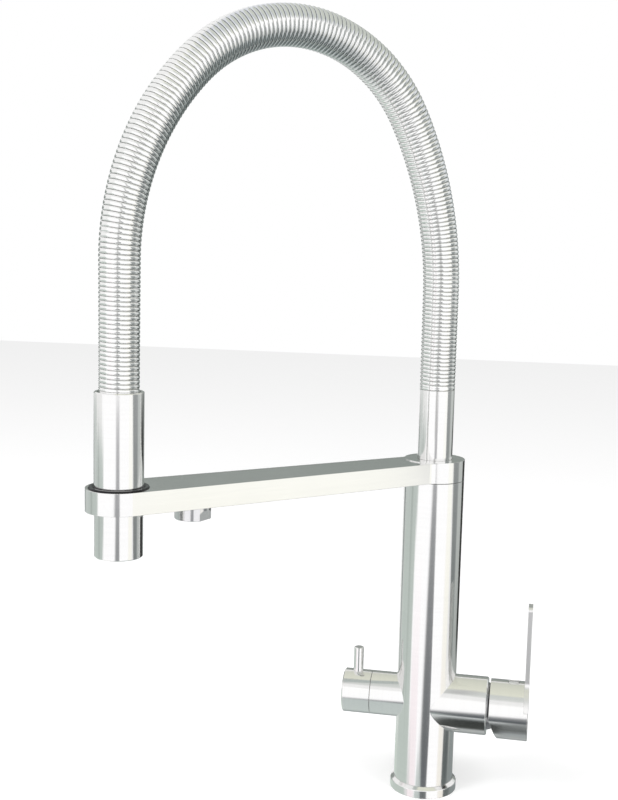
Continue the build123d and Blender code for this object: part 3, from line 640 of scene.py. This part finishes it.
# cards round the tap that only its reflections see: azimuths in degrees round the column at the card's
# low and high edge, heights and distance in metres, tones at its low and high edge,
# and the share over which it fades at its left, right, low and high edge
cardGrid = (40, 10)  # faces across and up
cards = {
    "softbox": {"low": (-154, -8), "high": (-154, -8), "height": (-2.4, 2.8), "away": 3.6,
                "tones": ((1.2, 1.2, 1.22), (1.2, 1.2, 1.2)), "soft": (0.03, 0.03, 0.02, 0.1)},
    "blush": {"low": (-152, -112), "high": (-146, -116), "height": (-2.4, -0.6), "away": 3.5,
              "tones": ((1.0, 0.89, 0.93), (1.2, 1.13, 1.16)), "soft": (0.1, 0.2, 0.02, 0.4)},
    "warm": {"low": (-36, -9), "high": (-30, -6), "height": (-2.4, 0.2), "away": 3.5,
             "tones": ((0.98, 0.92, 0.86), (1.22, 1.24, 1.16)), "soft": (0.3, 0.1, 0.02, 0.3)},
    "figure": {"low": (-118, -70), "high": (-88, -70), "height": (-1.9, -0.12), "away": 3.0,
               "tones": ((0.02, 0.03, 0.04), (0.42, 0.43, 0.44)), "soft": (0.36, 0.1, 0.02, 0.22)},
    "figureTop": {"low": (-88, -71), "high": (-90, -71), "height": (-0.5, -0.02), "away": 3.1,
                  "tones": ((0.52, 0.52, 0.54), (0.55, 0.55, 0.57)), "soft": (0.3, 0.15, 0.2, 0.2)},
    "stripeRight": {"low": (-94, -77), "high": (-94, -77), "height": (0.262, 0.68), "away": 0.15,
                    "tones": ((0.54, 0.54, 0.54), (0.62, 0.62, 0.62)), "soft": (0.45, 0.45, 0.05, 0.3)},
    "stripeLeft": {"low": (-121, -113.5), "high": (-121, -113.5), "height": (0.33, 0.66), "away": 0.37,
                   "tones": ((0.54, 0.54, 0.54), (0.62, 0.62, 0.62)), "soft": (0.45, 0.45, 0.05, 0.3)},
    "leftScreen": {"low": (-216, -149), "high": (-216, -149), "height": (-2.4, -0.08), "away": 3.0,
                   "tones": ((0.62, 0.70, 0.65), (0.56, 0.62, 0.59)), "soft": (0.08, 0.06, 0.02, 0.06)},
    "leftTop": {"low": (-210, -144), "high": (-210, -140), "height": (-0.5, -0.08), "away": 2.95,
                "tones": ((0.56, 0.62, 0.59), (0.56, 0.62, 0.59)), "soft": (0.08, 0.06, 0.2, 0.35)},
    "leftHigh": {"low": (-216, -178), "high": (-216, -178), "height": (-0.45, 0.03), "away": 2.9,
                 "tones": ((0.58, 0.63, 0.61), (0.66, 0.70, 0.68)), "soft": (0.1, 0.35, 0.3, 0.15)},
    "leftFoot": {"low": (-152, -138), "high": (-152, -138), "height": (-2.4, -1.1), "away": 2.95,
                 "tones": ((0.60, 0.66, 0.64), (0.84, 0.84, 0.84)), "soft": (0.2, 0.4, 0.02, 0.2)},
    "leftLow": {"low": (-276, -212), "high": (-276, -212), "height": (-2.4, -1.0), "away": 3.0,
                "tones": ((0.60, 0.68, 0.63), (0.64, 0.72, 0.67)), "soft": (0.04, 0.04, 0.02, 0.2)},
    "leftDark": {"low": (-234, -212), "high": (-234, -212), "height": (-1.15, 0.1), "away": 2.9,
                 "tones": ((0.50, 0.55, 0.53), (0.14, 0.16, 0.16)), "soft": (0.25, 0.3, 0.2, 0.25)},
    "leftStreak": {"low": (-178, -166), "high": (-178, -166), "height": (-1.2, 0.0), "away": 2.9,
                   "tones": ((0.55, 0.62, 0.58), (0.40, 0.44, 0.42)), "soft": (0.4, 0.4, 0.3, 0.2)},
    "rightScreen": {"low": (18, 96), "high": (18, 70), "height": (-2.4, 1.4), "away": 3.1,
                    "tones": ((0.16, 0.18, 0.17), (0.88, 0.92, 0.90)), "soft": (0.02, 0.04, 0.02, 0.2)},
    "rightLow": {"low": (-17, 28), "high": (-8, 28), "height": (-2.4, -1.0), "away": 3.0,
                 "tones": ((0.05, 0.06, 0.06), (0.14, 0.16, 0.16)), "soft": (0.1, 0.3, 0.02, 0.1)},
    "rightDark": {"low": (5, 28), "high": (-16, 27), "height": (-1.15, 0.3), "away": 3.0,
                  "tones": ((0.12, 0.14, 0.14), (0.44, 0.46, 0.46)), "soft": (0.1, 0.3, 0.1, 0.2)},
    "rightTall": {"low": (-14, 30), "high": (-14, 30), "height": (0.1, 1.8), "away": 3.05,
                  "tones": ((0.32, 0.35, 0.35), (0.40, 0.43, 0.42)), "soft": (0.15, 0.3, 0.1, 0.2)},
    "rightEdge": {"low": (50, 80), "high": (50, 80), "height": (-0.95, 0.1), "away": 2.9,
                  "tones": ((0.02, 0.02, 0.02), (0.06, 0.06, 0.06)), "soft": (0.12, 0.08, 0.15, 0.3)},
    "backWall": {"low": (62, 165), "high": (62, 165), "height": (0.15, 1.25), "away": 3.0,
                 "tones": ((0.26, 0.292, 0.277), (0.32, 0.35, 0.33)), "soft": (0.05, 0.05, 0.1, 0.15)},
    "backHigh": {"low": (62, 103), "high": (62, 103), "height": (1.1, 2.2), "away": 3.0,
                 "tones": ((0.32, 0.34, 0.32), (0.36, 0.38, 0.34)), "soft": (0.05, 0.05, 0.1, 0.3)},
    "backLow": {"low": (72, 102), "high": (72, 102), "height": (-1.8, 0.3), "away": 3.0,
                "tones": ((0.30, 0.32, 0.31), (0.26, 0.28, 0.27)), "soft": (0.05, 0.05, 0.02, 0.06)},
}
levelCards = {  # level ones, above and below the tap
    "ceiling": {"x": (-0.42, 1.4), "y": (-0.52, 1.9), "z": 1.5,
                "tones": ((0.86, 0.87, 0.75), (0.62, 0.64, 0.57)), "soft": (0.05, 0.1, 0.03, 0.15)},
    "ceilingFront": {"x": (-0.42, 1.4), "y": (-1.3, -0.46), "z": 1.52,
                     "tones": ((0.78, 0.80, 0.78), (0.68, 0.71, 0.69)), "soft": (0.07, 0.1, 0.3, 0.05)},
    "ground": {"x": (-0.6, 2.2), "y": (-0.45, 2.4), "z": -1.0,
               "tones": ((0.24, 0.27, 0.27), (0.30, 0.33, 0.33)), "soft": (0.1, 0.1, 0.08, 0.1)},
    "deckLeft": {"x": (-0.28, -0.03), "y": (-0.84, 0.42), "z": -0.3,
                 "tones": ((0.58, 0.64, 0.63), (0.62, 0.68, 0.66)), "soft": (0.1, 0.1, 0.16, 0.3)},
    "deckRight": {"x": (-0.04, 0.054), "y": (-0.74, 0.40), "z": -0.3,
                  "tones": ((0.46, 0.50, 0.51), (0.50, 0.52, 0.51)), "soft": (0.1, 0.03, 0.28, 0.3)},
    "deckFar": {"x": (0.052, 0.22), "y": (-0.16, 0.40), "z": -0.302,
                "tones": ((0.34, 0.37, 0.38), (0.50, 0.52, 0.51)), "soft": (0.02, 0.1, 0.1, 0.3)},
    "deckDark": {"x": (-0.03, 0.054), "y": (-0.54, 0.06), "z": -0.29,
                 "tones": ((0.03, 0.034, 0.034), (0.07, 0.075, 0.07)), "soft": (0.1, 0.03, 0.4, 0.2)},
    "deckCap": {"x": (0.052, 0.20), "y": (-0.64, -0.02), "z": -0.285,
                "tones": ((0.37, 0.39, 0.39), (0.09, 0.10, 0.10)), "soft": (0.02, 0.1, 0.16, 0.25)},
}


def cardFinish(name, card):  # a card that fades out at its edges
    f = Finish(name)
    uv = f.node("ShaderNodeTexCoord", out=2)
    outs = f.node("ShaderNodeSeparateXYZ", values={0: uv}).socket.node.outputs
    u, v = Wave(f, outs[0]), Wave(f, outs[1])
    left, right, low, high = card["soft"]
    smooth = {"interpolation_type": "SMOOTHSTEP"}
    mask = f.node("ShaderNodeMapRange", smooth, {0: u, 1: 0.0, 2: left})
    for along, width in ((1 - u, right), (v, low), (1 - v, high)):
        mask = mask * f.node("ShaderNodeMapRange", smooth, {0: along, 1: 0.0, 2: width})
    lowTone, highTone = card["tones"]
    tone = f.mixColor(v, (*lowTone, 1), (*highTone, 1))
    clear = f.node("ShaderNodeBsdfTransparent")
    glow = f.node("ShaderNodeEmission", values={"Color": tone, "Strength": 1.0})
    f.finishWith(f.node("ShaderNodeMixShader", values={0: mask, 1: clear, 2: glow}))
    return f.owner


def addCard(name, card, place):  # place gives the point at a share across and a share up
    across, up = cardGrid
    shares = [(i / across, j / up) for j in range(up + 1) for i in range(across + 1)]
    row = across + 1
    corners = [i + j * row for j in range(up) for i in range(across)]
    mesh = bpy.data.meshes.new(name)
    faces = [(c, c + 1, c + row + 1, c + row) for c in corners]
    mesh.from_pydata([place(u, v) for u, v in shares], [], faces)
    layer = mesh.uv_layers.new(name="card")
    for loop in mesh.loops:
        layer.data[loop.index].uv = shares[loop.vertex_index]
    piece = bpy.data.objects.new(name, mesh)
    bpy.context.scene.collection.objects.link(piece)
    mesh.materials.append(cardFinish(name, card))
    piece.visible_camera = False
    piece.visible_diffuse = False
    piece.visible_shadow = False


def between(pair, share):
    return pair[0] + (pair[1] - pair[0]) * share


def onWall(card, u, v):
    left = between((card["low"][0], card["high"][0]), v)
    right = between((card["low"][1], card["high"][1]), v)
    angle = math.radians(between((left, right), u))
    return card["away"] * math.cos(angle), card["away"] * math.sin(angle), between(card["height"], v)


def onLevel(card, u, v):
    return between(card["x"], u), between(card["y"], v), card["z"]


for name, card in cards.items():
    addCard(name, card, lambda u, v: onWall(card, u, v))
for name, card in levelCards.items():
    addCard(name, card, lambda u, v: onLevel(card, u, v))
print("studio done")

bpy.context.scene.view_settings.view_transform = "Standard"
